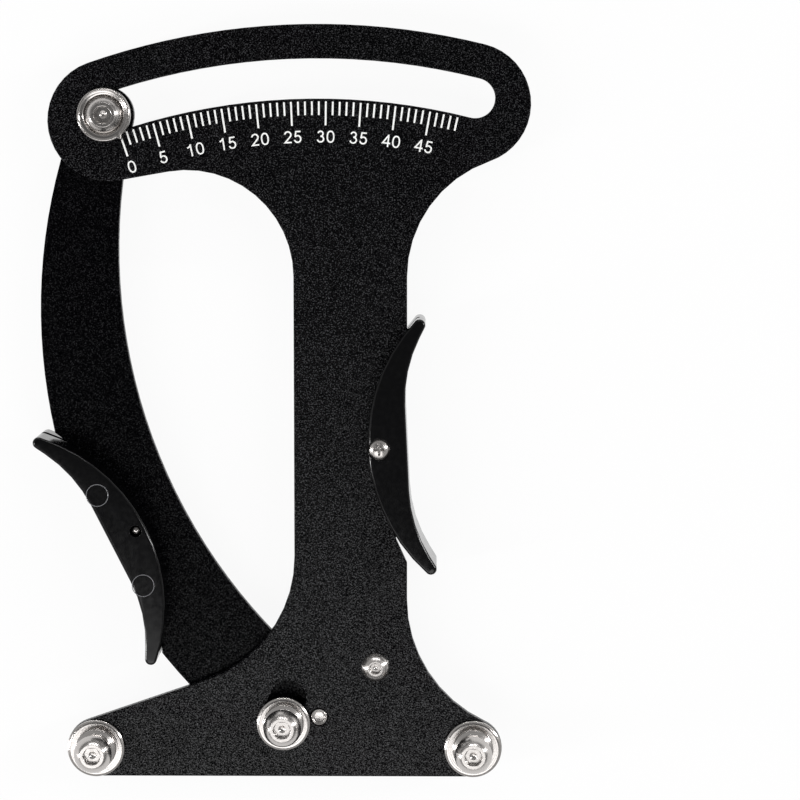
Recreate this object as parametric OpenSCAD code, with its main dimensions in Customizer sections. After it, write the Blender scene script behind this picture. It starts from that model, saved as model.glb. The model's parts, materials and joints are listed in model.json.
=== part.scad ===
// Spoke tension meter: two steel plates that turn on one pivot, three grooved posts that
// bend the spoke, a pointer that runs in an arc slot, and two finger grips.
// The tool lies on its back: +Z leaves the front face, +Y runs from the pivot to the scale.
// The origin is on the pivot axis, in the plane that the back of the tool rests on.

/* [Plates] */
// Thickness of the two steel plates
plate_t = 2.5; // [2:0.1:3.2]
// Air between the lever plate and the body plate
plate_gap = 0.8; // [0.6:0.1:1.4]
// Space behind the lever plate, for the spring and the nuts
rear_space = 6.6; // [6.2:0.1:8]
// Chamfer on the edges of the slots and the pointer
edge_chamfer = 0.2; // [0.1:0.05:0.4]

/* [Head and scale] */
// Distance from the pivot to the middle of the curved head
head_r = 157.6; // [130:1:190]
// Half the width of the curved head
head_half_w = 14.9; // [13:0.1:18]
// Angle from +Y to the left end of the head
head_left_a = 19.1; // [18.5:0.1:22]
// Angle from +Y to the right end of the head
head_right_a = 13.8; // [13.5:0.1:17]
// How far the slot's middle line lies outside the head's
slot_out = 1.6; // [0:0.1:3]
// Half the width of the arc slot
slot_half_w = 4.9; // [4:0.1:5.9]
// Angle from +Y to the pointer at rest
pointer_a = 19.24; // [18:0.01:20.5]
// Angle from +Y to the graduation at zero
zero_a = 18.45; // [18:0.01:19]
// Angle by which the slot is longer than the pointer's travel
slot_spare_a = 0.34; // [0.1:0.01:1]
// Distance from the slot to the graduations
tick_gap = 0.7; // [0.4:0.1:1.2]
// Number of graduations
tick_count = 50; // [40:1:51]
// Angle between two graduations
tick_step = 0.641; // [0.5:0.001:0.645]
// Length of a short graduation
tick_short = 3.35; // [2:0.05:4]
// Length of every fifth graduation
tick_long = 5.85; // [4:0.05:7]
// Width of a graduation
tick_w = 0.45; // [0.3:0.05:0.6]

/* [Column and feet] */
// Distance between the two outer posts
post_span = 94.6; // [80:0.1:114]
// Distance along X from the pivot to the left post
left_reach = 56; // [47:0.5:66]
// Distance along Y from the pivot down to the outer posts
foot_drop = 7.9; // [6.5:0.1:9.5]
// Radius of the plate round each outer post
foot_r = 7.25; // [7.2:0.05:9]
// Distance from the pivot to the column's left edge
column_left = 6.05; // [5.5:0.05:8]
// Width of the column
column_w = 28.1; // [23.5:0.1:34]
// Radius of the inside corner between head and column, left
neck_left_r = 26.25; // [20:0.25:30]
// How far that corner's centre lies below the left end of the head
neck_left_drop = 38.4; // [36:0.1:44]
// Radius of the inside corner between head and column, right
neck_right_r = 30.1; // [25:0.1:36]
// Radius of the inside corner between column and left foot
foot_left_r = 33.25; // [28:0.25:36]
// How far that corner's centre lies above the left post
foot_left_rise = 48.6; // [45:0.1:55]
// Radius of the inside corner between column and right foot
foot_right_r = 34.25; // [28:0.25:40]

/* [Lever] */
// Radius of the lever's outer edge
lever_left_r = 138.1; // [132:0.1:165]
// Radius of the lever's inner edge
lever_right_r = 137.6; // [120:0.1:165]
// Radius of the lever round the pointer's screw
lever_tip_r = 7; // [6.6:0.1:8.4]
// Distance of the outer edge's arc from the centre post
lever_heel = 9.45; // [8:0.05:11]
// Radius of the lever round the centre post
lever_end_r = 11.4; // [9.6:0.1:13.6]
// Radius of the lever round the pivot
lever_pivot_r = 7.9; // [6.6:0.1:9]
// Largest angle that the lever turns through
travel_a = 33; // [25:0.5:33]

/* [Posts] */
// Distance along X from the pivot to the centre post
centre_post_x = 8.9; // [8.6:0.1:10.7]
// Distance along Y from the pivot down to the centre post
centre_post_drop = 1.5; // [0.5:0.1:2]
// Radius of the flange of the two outer posts
outer_flange_r = 7.15; // [6:0.05:8.5]
// Radius of the flange of the centre post
centre_flange_r = 6.7; // [5.6:0.05:6.9]
// Thickness of each flange
flange_h = 1.5; // [1:0.1:2.2]
// Radius of the spigot that holds each post in its plate
spigot_r = 3.4; // [3.1:0.05:3.6]
// Radius of the neck that the spoke lies on
neck_r = 3.9; // [3.4:0.05:4.5]
// Radius of the step between the flange and the neck
step_r = 5; // [4.6:0.05:5.8]
// Height of that step
step_h = 0.7; // [0.4:0.1:1]
// Height of the two outer posts above their flanges
outer_neck_h = 6.2; // [5:0.1:7.4]
// Height of the centre post above its flange
centre_neck_h = 4.6; // [3.8:0.1:5.6]
// Radius of the centre post where it passes through the body plate
shank_r = 4; // [3.8:0.05:4.1]
// Air round the shank in the hole that lets the centre post swing
swing_play = 0.6; // [0.4:0.05:0.8]
// Angle by which that hole is longer than the post's travel
swing_spare_a = 7; // [2:0.5:9]

/* [Pointer] */
// Radius of the pointer
pointer_r = 6.6; // [5.6:0.1:7.6]
// Reach of the pointer's beak from its screw
beak_reach = 7.3; // [6.4:0.1:8.6]
// Radius of the beak's end
beak_r = 0.35; // [0.25:0.05:0.5]
// Thickness of the pointer's floor
pointer_floor = 0.9; // [0.7:0.1:1.2]
// Height of the pointer's rim above its floor
pointer_rim = 0.8; // [0.6:0.1:1.2]
// Air on each side of the slider's sleeve, which runs in the slot
slider_play = 0.3; // [0.15:0.05:0.5]

/* [Grips] */
// Length of a grip from tip to tip
grip_l = 63.4; // [52.8:0.1:70]
// Radius of the grip's outer edge, on the plate's side
grip_back_r = 44; // [40:0.5:53]
// Height of that edge above the line between the tips
grip_back_v = 14.7; // [14.4:0.1:16]
// Height of the finger side above the line between the tips
grip_front_v = 5.05; // [4.2:0.05:5.6]
// Half the length of the flat part of the finger side
grip_flat = 10.5; // [8.5:0.1:12.5]
// Radius of the two bends of the finger side
grip_bend_r = 34; // [28:0.5:40]
// Radius of a grip's tips
grip_tip_r = 1.45; // [1.3:0.05:1.7]
// Rounding of a grip's edges
grip_round = 0.6; // [0.3:0.1:0.8]
// Height of the slot's floor above the line between the tips
grip_floor_v = 8.9; // [8.4:0.1:9.2]
// Half the length of the flat part of that floor
grip_floor_l = 15; // [12:0.5:15.5]
// Slope of that floor towards the tips, in degrees
grip_floor_a = 26.4; // [24:0.2:30]
// Height of the grip's screw above the line between the tips
grip_screw_v = 12; // [11.6:0.1:12.3]
// Height of the body grip's middle above the pivot
body_grip_y = 68.8; // [62:0.2:76]
// How far its middle stands out from the column
body_grip_out = 5.15; // [4.6:0.05:5.6]
// Tilt of the body grip
body_grip_a = 2.7; // [0:0.1:5]
// How far its middle lies inside the lever's outer edge
lever_grip_in = 0.4; // [0:0.1:1]
// Place of the lever grip along the lever's outer arc, as a direction
lever_grip_at = 205.1; // [203:0.1:207]
// Tilt of the lever grip
lever_grip_a = 26.8; // [25:0.1:28.5]

/* [Pivot and spring] */
// Radius of the pivot pin's shoulder
pivot_r = 3; // [2.8:0.05:3.1]
// Running clearance on that shoulder
pivot_clearance = 0.04; // [0.02:0.01:0.08]
// Outer radius of the lever's bush
bush_r = 4.2; // [4:0.05:4.4]
// How far the pivot pin's flat head reaches past the spring's coil
pivot_head_lip = 0.2; // [0.1:0.1:1]
// Thickness of that head
pivot_head_h = 1.2; // [1:0.1:1.4]
// Radius of the spring's wire
wire_r = 0.8; // [0.6:0.05:0.9]
// Radius of the spring's coil, to the middle of the wire
coil_r = 7.4; // [7.1:0.1:7.5]
// Distance along X from the pivot to the spring's fixed post
anchor_x = 14.2; // [13:0.1:15.5]
// Distance along Y from the pivot up to that post
anchor_y = 12.7; // [11:0.1:14]
// Radius of that post
anchor_r = 2.6; // [2.4:0.1:3]
// Width of the lip that keeps the spring's leg on that post
anchor_lip = 1; // [0.6:0.1:1.4]
// Air between the hub and the coil round it
hub_play = 0.7; // [0.5:0.1:1.4]
// Distance along X from the pivot to the hole in the lever for the spring's moving leg
hook_x = 12; // [10:0.1:14]
// Distance along Y from the pivot up to that hole
hook_y = 13; // [11:0.1:15]
// How far the fixed leg runs past its tangent point
fixed_leg = 20; // [18:0.5:23]

/* [Screws] */
// Radius of the thread of the post and pointer screws
screw_r = 2.5; // [2.2:0.05:2.6]
// Radius of their button heads
head_button_r = 4.7; // [4.3:0.05:5.2]
// Height of their button heads
head_button_h = 2.75; // [2.4:0.05:3]
// Width across the flats of their sockets
socket_af = 4; // [3:0.1:4]
// Radius of the thread of the pivot pin and of the anchor's screw
small_r = 2; // [1.8:0.05:2.2]
// Radius of the anchor screw's head
small_head_r = 3.6; // [3.3:0.05:3.9]
// Height of the anchor screw's head
small_head_h = 2.1; // [1.8:0.1:2.4]
// Width across the flats of its socket
small_af = 2.5; // [2:0.1:2.6]
// Width across the flats of a nut
nut_af = 8; // [7.5:0.1:8.5]
// Height of a nut
nut_h = 4; // [3.2:0.1:4.2]
// Radius of a washer
washer_r = 5; // [4.6:0.1:5.6]
// Thickness of a washer
washer_h = 1; // [0.8:0.1:1.1]
// Radius of the grip screws' thread
grip_screw_r = 1.4; // [1.2:0.05:1.5]
// Radius of their heads
pan_r = 2.65; // [2.4:0.05:2.8]
// Height of their heads
pan_h = 1.9; // [1.6:0.1:2.1]

/* [Hidden] */
$fn = 96;

// Clearances: a fixed fit, a screw in its hole, and a running face
fixed_fit = 0.02;
screw_fit = 0.1;
face_fit = 0.05;
cut = 1; // how far a cutter runs past the face that it cuts
same_point = 0.03; // points of an outline nearer than this are one

steel = [0.78, 0.78, 0.8];
bright = [0.62, 0.63, 0.66];
coat = [0.09, 0.09, 0.1];
plastic = [0.03, 0.03, 0.035];
nylon = [0.16, 0.16, 0.17];
white = [0.95, 0.95, 0.95];

// Levels along Z, from the back to the front
lever_z = rear_space;
gap_z = lever_z + plate_t;
body_z = gap_z + plate_gap;
front_z = body_z + plate_t;
grip_w = front_z + rear_space;
swing_z = front_z + 0.35; // underside of what swings in front of the body plate

// Places in the plane of the plates
slot_r = head_r + slot_out;
left_foot = [-left_reach, -foot_drop];
right_foot = [post_span - left_reach, -foot_drop];
centre_post_at = [-centre_post_x, -centre_post_drop];
anchor_at = [anchor_x, anchor_y];
hook_at = [-hook_x, hook_y];
column_right_x = column_w - column_left;
pointer_at = dial(slot_r, -pointer_a);
slot_right_a = travel_a - pointer_a + slot_spare_a;

// A point at a radius and an angle clockwise from +Y, as on the scale
function dial(r, a) = r * [sin(a), cos(a)];
// A point at a radius and an angle anticlockwise from +X
function polar(r, a) = r * [cos(a), sin(a)];
function heading(p, q) = atan2(q.y - p.y, q.x - p.x);
function turned(p, a) = [p.x * cos(a) - p.y * sin(a), p.x * sin(a) + p.y * cos(a)];
// The third side of a right triangle
function side(long, short) = sqrt(long * long - short * short);
// One of the two points that lie r1 from p1 and r2 from p2, on the left of the way from p1 to p2
function meet(p1, r1, p2, r2) =
    let (d = norm(p2 - p1), along = (r1 * r1 - r2 * r2 + d * d) / (2 * d))
    p1 + turned([along, side(r1, along)], heading(p1, p2));

// An outline is a ring of circles, [centre, signed radius], that a belt runs round anticlockwise:
// it goes round the outside of a circle with a positive radius, and a negative one
// makes an inside corner. Growing or shrinking the outline only changes the radii.
function belt_line(c, d) =
    let (sine = (c[1] - d[1]) / norm(d[0] - c[0]))
    heading(c[0], d[0]) + asin(max(-1, min(1, sine)));
function arc_steps(r, a) = max(2, ceil(max(a / 9, a * PI / 180 * abs(r) / 5)));
function belt_arc(c, from, to) =
    let (sweep = c[1] > 0 ? (to - from + 3600) % 360 : (from - to + 3600) % 360,
        a = sweep > 359.9 ? 0 : sweep, n = arc_steps(c[1], a))
    [for (i = [0:n]) let (t = from + sign(c[1]) * a * i / n) c[0] + c[1] * [sin(t), -cos(t)]];
function belt(ring, inset = 0) =
    let (n = len(ring), lines = [for (i = [0:n - 1]) belt_line(ring[i], ring[(i + 1) % n])],
        all = [for (i = [0:n - 1]) each [for (p = belt_arc(ring[i], lines[(i + n - 1) % n], lines[i]))
            [p, unit(p - ring[i][0]) * sign(ring[i][1])]]],
        m = len(all))
    [for (i = [0:m - 1]) if (norm(all[i][0] - all[(i + 1) % m][0]) > same_point)
        all[i][0] - inset * all[i][1]];
function unit(v) = v / norm(v);

// Body plate: feet, column and curved head
left_cap = dial(head_r, -head_left_a);
right_cap = dial(head_r, head_right_a);
foot_right_x = column_right_x + foot_right_r;
foot_right_y = right_foot.y + side(foot_right_r + foot_r, foot_right_x - right_foot.x);
neck_right_x = column_right_x + neck_right_r;
neck_right_y = right_cap.y - side(neck_right_r + head_half_w, neck_right_x - right_cap.x);
body_ring = [
    [left_foot, foot_r],
    [right_foot, foot_r],
    [[foot_right_x, foot_right_y], -foot_right_r],
    [[neck_right_x, neck_right_y], -neck_right_r],
    [right_cap, head_half_w],
    [[0, 0], head_r + head_half_w],
    [left_cap, head_half_w],
    [[-column_left - neck_left_r, left_cap.y - neck_left_drop], -neck_left_r],
    [[-column_left - foot_left_r, left_foot.y + foot_left_rise], -foot_left_r]];

// Lever plate: its two arcs touch the circles round the pointer's screw and the pivot
lever_left_c = meet(pointer_at, lever_left_r - lever_tip_r, centre_post_at, lever_left_r - lever_heel);
lever_right_c = meet(pointer_at, lever_right_r + lever_tip_r, [0, 0], lever_right_r + lever_pivot_r);
lever_ring = [
    [pointer_at, lever_tip_r],
    [lever_left_c, lever_left_r],
    [centre_post_at, lever_end_r],
    [[0, 0], lever_pivot_r],
    [lever_right_c, -lever_right_r]];

// Grip: u runs along the line between the tips, v towards the plate
grip_back_c = [0, grip_back_v - grip_back_r];
grip_tip_u = grip_l / 2 - grip_tip_r;
grip_tip = [grip_tip_u, grip_back_c.y + side(grip_back_r - grip_tip_r, grip_tip_u)];
grip_bend = [grip_flat, grip_front_v - grip_bend_r];
grip_ring = [
    [grip_tip, grip_tip_r],
    [grip_back_c, grip_back_r],
    [[-grip_tip.x, grip_tip.y], grip_tip_r],
    [[-grip_bend.x, grip_bend.y], -grip_bend_r],
    [grip_bend, -grip_bend_r]];
// Where the plates are notched for the grips: half lengths of the flat part, and the slope beyond
body_notch = [grip_floor_l + 8.4, grip_floor_l + 0.5, grip_floor_a - 4.4];
lever_notch = [grip_floor_l + 5, grip_floor_l + 2.7, grip_floor_a];
grip_fit = 0.1;

// Spring: the legs leave the coil at these directions
coil_turns = 2; // full turns, to which the angle between the legs is added
anchor_reach = coil_r + wire_r + anchor_r + face_fit;
fixed_dir = atan2(anchor_at.y, anchor_at.x) - acos(anchor_reach / norm(anchor_at));
moving_dir = atan2(hook_at.y, hook_at.x) + acos(coil_r / norm(hook_at));
coil_angle = 360 * coil_turns - moving_dir + fixed_dir;
coil_low_z = pivot_head_h + 0.3 + wire_r;
coil_high_z = lever_z - 0.3 - wire_r;

tick_top_r = slot_r - slot_half_w - tick_gap;
tick_h = 0.05; // thickness of the printed graduations
pivot_sink = 0.5; // depth of the chamfer round the front end of the pivot pin
swing_half_w = shank_r + swing_play;
swing_r = norm(centre_post_at);
swing_from = atan2(centre_post_at.x, centre_post_at.y);
swing_to = swing_from + travel_a + swing_spare_a;
swing_ring = [
    [dial(swing_r, swing_to), swing_half_w],
    [[0, 0], swing_r + swing_half_w],
    [dial(swing_r, swing_from), swing_half_w],
    [[0, 0], swing_half_w - swing_r]];
slider_r = slot_half_w - slider_play;
slider_flange_r = slot_half_w + 1.5;
thrust_r = bush_r + 0.6;
hub_r = coil_r - wire_r - hub_play;
pivot_head_r = coil_r + wire_r + pivot_head_lip;
outer_top_z = front_z + flange_h + outer_neck_h;
centre_top_z = swing_z + flange_h + centre_neck_h;
pointer_floor_z = swing_z + pointer_floor;
pointer_top_z = pointer_floor_z + pointer_rim;

// A closed solid through rings of points that all have the same number of points: between its
// first ring and its last it has flat ends, or it closes on itself
function walls(n, steps, count) = [for (i = [0:steps - 1], j = [0:n - 1])
    let (k = (j + 1) % n, a = i * n, b = (i + 1) % count * n)
    each [[a + j, b + j, b + k], [a + j, b + k, a + k]]];
module skin(rings) {
    n = len(rings[0]);
    last = len(rings) - 1;
    ends = [[for (j = [0:n - 1]) j], [for (j = [n - 1:-1:0]) last * n + j]];
    polyhedron([for (r = rings) each r], concat(walls(n, last, last + 1), ends), convexity = 10);
}
module closed_skin(rings) {
    polyhedron([for (r = rings) each r], walls(len(rings[0]), len(rings), len(rings)), convexity = 10);
}

// An outline's points at a height, drawn in by an inset
function level(ring, inset, z) = [for (p = belt(ring, inset)) [p.x, p.y, z]];
// What rounds an outline's edge at z = 0: a band that runs along the edge
module round_off(ring, r) {
    section = concat([[-cut, -cut], [-cut, r]],
        [for (a = [90:-30:0]) r * [1 - sin(a), 1 - cos(a)]], [[r, -cut]]);
    closed_skin([for (s = section) level(ring, s.x, s.y)]);
}
module plate(ring, z, t) {
    translate([0, 0, z]) linear_extrude(t) polygon(belt(ring));
}

// Cutters: half a section through a hole with chamfered edges, the hole, and an arc slot
function cut_section(r, t, c) = [[r + c + cut, -cut], [r, c], [r, t - c], [r + c + cut, t + cut]];
module hole(p, r, z, t, c = 0) {
    translate([p.x, p.y, z]) rotate_extrude()
        polygon(concat([[0, -cut]], c > 0 ? cut_section(r, t, c) : [[r, -cut], [r, t + cut]],
            [[0, t + cut]]));
}
module arc_slot(r, half_w, from, to, z, t, c) {
    half = cut_section(half_w, t, c);
    back = [for (i = [len(half) - 1:-1:0]) [r - half[i].x, half[i].y]];
    translate([0, 0, z]) rotate([0, 0, 90 - to]) rotate_extrude(angle = to - from)
        polygon(concat([for (p = half) [r + p.x, p.y]], back));
    for (a = [from, to]) hole(dial(r, a), half_w, z, t, c);
}

module tube(r, bore, h) {
    difference() {
        cylinder(r = r, h = h);
        translate([0, 0, -cut]) cylinder(r = bore, h = h + 2 * cut);
    }
}
module at(p, z = 0) {
    translate([p.x, p.y, z]) children();
}

// Places what is drawn in a grip's own u, v and z at the body grip or at the lever grip
module at_body_grip() {
    at([column_right_x + body_grip_out, body_grip_y]) rotate([0, 0, 90 + body_grip_a]) children();
}
module at_lever_grip() {
    at(lever_left_c + polar(lever_left_r - lever_grip_in, lever_grip_at))
        rotate([0, 0, lever_grip_a - 90]) children();
}

// What a grip takes out of its plate: a notch in the edge, and a hole for the screw
module grip_seat(shape, z) {
    far = grip_l;
    v = grip_floor_v + grip_fit;
    slope = tan(shape[2]);
    translate([0, 0, z - cut]) linear_extrude(plate_t + 2 * cut)
        polygon([[-far, v - (far - shape[0]) * slope], [-shape[0], v], [shape[1], v],
            [far, v - (far - shape[1]) * slope], [far, -far], [-far, -far]]);
    hole([0, grip_screw_v], grip_screw_r + screw_fit, z, plate_t);
}

module body_plate() color(coat) difference() {
    plate(body_ring, body_z, plate_t);
    arc_slot(slot_r, slot_half_w, -pointer_a, slot_right_a, body_z, plate_t, edge_chamfer);
    plate(swing_ring, body_z - cut, plate_t + 2 * cut);
    for (p = [left_foot, right_foot]) hole(p, spigot_r + fixed_fit, body_z, plate_t);
    hole(anchor_at, small_r + screw_fit, body_z, plate_t);
    hole([0, 0], small_r + fixed_fit, body_z, plate_t);
    translate([0, 0, front_z - pivot_sink])
        cylinder(r1 = small_r, r2 = small_r + pivot_sink, h = pivot_sink);
    translate([0, 0, front_z]) cylinder(r = small_r + pivot_sink, h = cut);
    at_body_grip() grip_seat(body_notch, body_z);
}

// The printed graduations, every fifth one long
module scale_ticks() color(white) for (i = [0:tick_count - 1]) {
    l = i % 5 == 0 ? tick_long : tick_short;
    rotate([0, 0, zero_a - i * tick_step]) translate([-tick_w / 2, tick_top_r - l, front_z])
        cube([tick_w, l, tick_h]);
}

module lever_plate() color(coat) difference() {
    plate(lever_ring, lever_z, plate_t);
    hole([0, 0], bush_r + fixed_fit, lever_z, plate_t);
    hole(centre_post_at, spigot_r + fixed_fit, lever_z, plate_t);
    hole(pointer_at, screw_r + screw_fit, lever_z, plate_t);
    hole(hook_at, wire_r + screw_fit * 2, lever_z, plate_t);
    at_lever_grip() grip_seat(lever_notch, lever_z);
}

// A post turned from bar: spigot, shank, flange with a bevelled rim, step and neck
module post(z, shoulder_z, shank, flange_z, flange, top_z) {
    rim = 0.8;
    flange_top = flange_z + flange_h;
    rotate_extrude() polygon([[screw_r + screw_fit, z], [spigot_r, z], [spigot_r, shoulder_z],
        [shank, shoulder_z], [shank, flange_z], [flange, flange_z], [flange, flange_top - rim / 2],
        [flange - rim, flange_top], [step_r, flange_top], [step_r, flange_top + step_h],
        [neck_r, flange_top + step_h + (step_r - neck_r) / 2], [neck_r, top_z],
        [screw_r + screw_fit, top_z]]);
}
module outer_post() color(steel)
    post(body_z, front_z, outer_flange_r, front_z, outer_flange_r, outer_top_z);
module left_post() at(left_foot) outer_post();
module right_post() at(right_foot) outer_post();
module centre_post() color(steel) at(centre_post_at)
    post(lever_z, gap_z, shank_r, swing_z, centre_flange_r, centre_top_z);

// A button head screw: the underside of its head is at z = 0, and the shank points down
module button_screw(r, l, cap_r, cap_h, af) {
    rim = 0.15 * cap_h;
    flat_r = af * 0.75;
    dome_z = (flat_r * flat_r + cap_h * cap_h - cap_r * cap_r - rim * rim) / (2 * (cap_h - rim));
    socket_h = 0.65 * cap_h;
    drill_h = 0.12 * af; // depth of the point that a drill leaves in the socket's floor
    tip = 0.4;
    difference() {
        union() {
            intersection() {
                translate([0, 0, dome_z]) sphere(r = norm([cap_r, rim - dome_z]));
                cylinder(r = cap_r, h = cap_h);
            }
            rotate_extrude() polygon([[0, -l], [r - tip, -l], [r, tip - l], [r, rim], [0, rim]]);
        }
        translate([0, 0, cap_h - socket_h]) cylinder(r = af / sqrt(3), h = socket_h + cut, $fn = 6);
        translate([0, 0, cap_h - socket_h - drill_h]) cylinder(r1 = 0, r2 = 0.4 * af, h = 0.2 * af);
        translate([0, 0, cap_h - tip / 2]) cylinder(r1 = af / 2, r2 = af / 2 + tip + cut, h = tip + cut);
    }
}
module post_screw(l) color(bright) button_screw(screw_r, l, head_button_r, head_button_h, socket_af);
outer_screw_l = outer_top_z - body_z + washer_h + nut_h + 0.8;
module left_post_screw() at(left_foot, outer_top_z) post_screw(outer_screw_l);
module right_post_screw() at(right_foot, outer_top_z) post_screw(outer_screw_l);
module centre_post_screw() at(centre_post_at, centre_top_z) post_screw(centre_top_z - lever_z - 0.2);
module pointer_screw() at(pointer_at, pointer_floor_z)
    post_screw(pointer_floor_z - lever_z + washer_h + nut_h + 0.8);

module washer() color(steel) tube(washer_r, screw_r + screw_fit, washer_h);
module left_post_washer() at(left_foot, body_z - washer_h) washer();
module right_post_washer() at(right_foot, body_z - washer_h) washer();
module pointer_washer() at(pointer_at, lever_z - washer_h) washer();

// A hexagon nut with both ends chamfered
module nut() color(steel) {
    corner_r = nut_af / sqrt(3);
    c = (corner_r - nut_af / 2) / sqrt(3);
    difference() {
        intersection() {
            cylinder(r = corner_r, h = nut_h, $fn = 6);
            rotate_extrude() polygon([[0, 0], [nut_af / 2, 0], [corner_r, c], [corner_r, nut_h - c],
                [nut_af / 2, nut_h], [0, nut_h]]);
        }
        translate([0, 0, -cut]) cylinder(r = screw_r + fixed_fit, h = nut_h + 2 * cut);
    }
}
module left_post_nut() at(left_foot, body_z - washer_h - nut_h) nut();
module right_post_nut() at(right_foot, body_z - washer_h - nut_h) nut();
module pointer_nut() at(pointer_at, lever_z - washer_h - nut_h) nut();

// The moulded grip. Its slot holds the plate, its boss hides the screw's head, and
// its plain face has two ejector marks.
module grip() color(plastic) {
    v = grip_screw_v;
    boss_wall = 0.65;
    boss_low_z = front_z + grip_fit;
    boss_top_z = grip_w - 0.15;
    mark_h = 0.15;
    mark_w = 0.2;
    far = grip_l;
    difference() {
        union() {
            difference() {
                plate(grip_ring, 0, grip_w);
                for (m = [0, 1]) translate([0, 0, m * grip_w]) mirror([0, 0, m])
                    round_off(grip_ring, grip_round);
            }
            translate([0, v, boss_low_z]) cylinder(r = pan_r + boss_wall, h = boss_top_z - boss_low_z);
        }
        translate([0, 0, body_z - grip_fit]) linear_extrude(plate_t + 2 * grip_fit)
            polygon([[-far, grip_floor(far)], [-grip_floor_l, grip_floor_v], [grip_floor_l, grip_floor_v],
                [far, grip_floor(far)], [far, far], [-far, far]]);
        hole([0, v], grip_screw_r + face_fit, 0, grip_w);
        hole([0, v], pan_r + screw_fit, grip_w - pan_h - screw_fit + cut, pan_h);
        for (p = grip_marks) at(p, -cut) tube(mark_r, mark_r - mark_w, mark_h + cut);
    }
}
grip_marks = [[-13, 7.6], [12.2, 7.6]]; // places of the two ejector marks
mark_r = 2.8;
function grip_floor(u) = grip_floor_v - (u - grip_floor_l) * tan(grip_floor_a);
module body_grip() at_body_grip() grip();
// The same moulding turned over, so that its plain face is in front
module over() {
    translate([0, 0, grip_w]) rotate([0, 180, 0]) children();
}
module lever_grip() at_lever_grip() over() grip();

// A self-tapping screw with a cross recess, from the boss through the plate to the plain face
module grip_screw() color(steel) translate([0, grip_screw_v, grip_w - screw_fit - pan_h]) {
    l = grip_w - pan_h - 1.2;
    point_l = 1.5;
    recess_r = 0.55 * pan_r;
    recess_w = 0.6;
    recess_z = 0.45 * pan_h;
    difference() {
        union() {
            intersection() {
                translate([0, 0, pan_h - 2 * pan_r]) sphere(r = 2 * pan_r);
                cylinder(r = pan_r, h = pan_h);
            }
            rotate_extrude() polygon([[0, -l], [grip_screw_r / 2, -l], [grip_screw_r, point_l - l],
                [grip_screw_r, pan_h / 2], [0, pan_h / 2]]);
        }
        for (a = [0, 90]) rotate([0, 0, a]) translate([-recess_r, -recess_w / 2, recess_z])
            cube([2 * recess_r, recess_w, pan_h]);
    }
}
module body_grip_screw() at_body_grip() grip_screw();
module lever_grip_screw() at_lever_grip() over() grip_screw();

// The pointer turns with the lever: a dished washer with a beak that points at the scale
beak_over = 1.3; // how far the beak's end reaches over the graduations
beak_dir = heading(pointer_at, dial(tick_top_r - beak_over, -zero_a));
pointer_ring = [[[0, 0], pointer_r], [polar(beak_reach, beak_dir), beak_r]];
module pointer() color(steel) at(pointer_at) difference() {
    skin([level(pointer_ring, 0, swing_z), level(pointer_ring, 0, pointer_top_z - edge_chamfer),
        level(pointer_ring, edge_chamfer, pointer_top_z)]);
    hole([0, 0], screw_r + screw_fit, swing_z, pointer_floor);
    translate([0, 0, pointer_floor_z]) cylinder(r = head_button_r + screw_fit, h = pointer_rim + cut);
}
module pointer_slider() color(nylon) at(pointer_at) difference() {
    union() {
        translate([0, 0, gap_z]) cylinder(r = slider_flange_r, h = plate_gap - face_fit);
        translate([0, 0, gap_z]) cylinder(r = slider_r, h = swing_z - gap_z);
    }
    hole([0, 0], screw_r + screw_fit, gap_z, swing_z - gap_z);
}

// The pivot: a shouldered pin with a wide flat head, which also keeps the spring on its hub
module pivot_pin() color(steel) {
    c = 0.2;
    rotate_extrude() polygon([[0, 0], [pivot_head_r - c, 0], [pivot_head_r, c],
        [pivot_head_r, pivot_head_h], [pivot_r, pivot_head_h], [pivot_r, body_z], [small_r, body_z],
        [small_r, front_z], [small_r - c, front_z + c], [0, front_z + c]]);
}
module pivot_bush() color(bright) translate([0, 0, lever_z])
    tube(bush_r, pivot_r + pivot_clearance, plate_t);
rear_thrust_h = 0.3;
hub_top_z = lever_z - rear_thrust_h - 2 * face_fit;
module spring_hub() color(nylon) translate([0, 0, pivot_head_h])
    tube(hub_r, pivot_r + pivot_clearance, hub_top_z - pivot_head_h);
module rear_thrust_washer() color(steel) translate([0, 0, hub_top_z + face_fit])
    tube(thrust_r, pivot_r + pivot_clearance, rear_thrust_h);
module front_thrust_washer() color(nylon) translate([0, 0, gap_z + face_fit])
    tube(thrust_r, pivot_r + pivot_clearance, plate_gap - 2 * face_fit);

// The fixed post of the spring, tapped for the screw that holds it to the body plate
anchor_foot_z = 1;
anchor_lip_h = 0.5;
anchor_screw_l = 8;
module anchor_post() color(steel) at(anchor_at) difference() {
    union() {
        translate([0, 0, anchor_foot_z]) cylinder(r = anchor_r + anchor_lip, h = anchor_lip_h);
        translate([0, 0, anchor_foot_z]) cylinder(r = anchor_r, h = body_z - anchor_foot_z);
    }
    translate([0, 0, front_z - anchor_screw_l - screw_fit]) cylinder(r = small_r + fixed_fit, h = body_z);
}
module anchor_screw() color(bright) at(anchor_at, front_z)
    button_screw(small_r, anchor_screw_l, small_head_r, small_head_h, small_af);

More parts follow.
